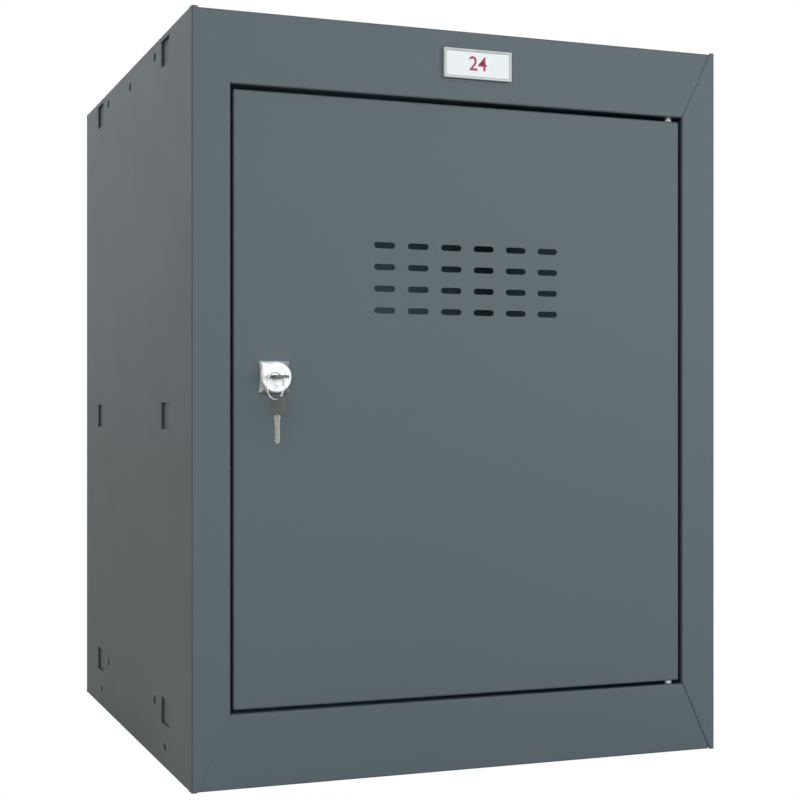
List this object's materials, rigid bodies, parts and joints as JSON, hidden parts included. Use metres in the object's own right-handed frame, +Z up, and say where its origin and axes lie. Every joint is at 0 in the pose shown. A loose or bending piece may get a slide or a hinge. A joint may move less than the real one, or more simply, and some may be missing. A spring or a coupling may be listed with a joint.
{
  "type": "cube locker",
  "caption": "Small steel cube locker with a mitred front frame, a vented hinged door with a cam lock, keys on a wire ring and a label plate on the top rail.",
  "frame": {"origin": "centre of the whole object's footprint on the floor, the keys at the front included", "axes": "+X to the right seen from the front, +Y from the door towards the back, +Z up"},
  "size_m": [0.382, 0.4206, 0.5],
  "materials": {
    "powder_coat_cabinet": "anthracite grey powder coat, fine orange peel, semi-matt",
    "powder_coat_door": "anthracite grey powder coat, fine orange peel, semi-matt",
    "nylon": "natural white nylon",
    "label_frame": "satin silver",
    "label_card": "white card",
    "buffer_rubber": "black rubber",
    "zinc_plate": "bright zinc plate",
    "lock_chrome": "bright chrome",
    "key_bow_plastic": "dark grey moulded plastic",
    "key_steel": "nickel plated",
    "ring_wire": "bright plated wire"
  },
  "bodies": {
    "cabinet": {"side_panel_left": "powder_coat_cabinet", "side_panel_right": "powder_coat_cabinet", "top_panel": "powder_coat_cabinet", "base_panel": "powder_coat_cabinet", "back_panel": "powder_coat_cabinet", "slot_backing_left": "powder_coat_cabinet", "slot_backing_right": "powder_coat_cabinet", "hinge_bush_upper": "nylon", "hinge_bush_lower": "nylon", "label_holder": "label_frame", "label_card": "label_card", "door_buffer_lower": "buffer_rubber", "door_buffer_upper": "buffer_rubber"},
    "door": {"door_panel": "powder_coat_door", "door_stiffener": "powder_coat_door", "lock_doubler": "powder_coat_door", "hinge_pin_upper": "nylon", "hinge_pin_lower": "nylon", "lock_housing": "lock_chrome", "lock_nut": "zinc_plate"},
    "lock_barrel": {"lock_plug": "lock_chrome", "lock_cam": "zinc_plate", "cam_screw": "zinc_plate"},
    "key": {"key_bow": "key_bow_plastic", "key_blade": "key_steel"},
    "ring": {"key_ring": "ring_wire"},
    "spare_key": {"spare_key_bow": "key_bow_plastic", "spare_key_blade": "key_steel"}
  },
  "joints": [
    {"name": "door_hinge", "type": "hinge", "parent": "cabinet", "child": "door", "pos_m": [0.1566, -0.17971, 0.24995], "axis": [0, 0, 1], "range_deg": [0, 105]},
    {"name": "lock_turn", "type": "hinge", "parent": "door", "child": "lock_barrel", "pos_m": [-0.1368, -0.18621, 0.2645], "axis": [0, 1, 0], "range_deg": [0, 90]},
    {"name": "key_withdraw", "type": "slide", "parent": "lock_barrel", "child": "key", "axis": [0, -1, 0], "range_m": [0, 0.02]},
    {"name": "ring_turn", "type": "hinge", "parent": "key", "child": "ring", "pos_m": [-0.14168, -0.20493, 0.25849], "axis": [0.5736, -0.8192, 0], "range_deg": [-40, 15]},
    {"name": "spare_key_swing", "type": "hinge", "parent": "ring", "child": "spare_key", "pos_m": [-0.14012, -0.20384, 0.25021], "axis": [0.8192, 0.5736, 0], "range_deg": [-30, 30]}
  ]
}
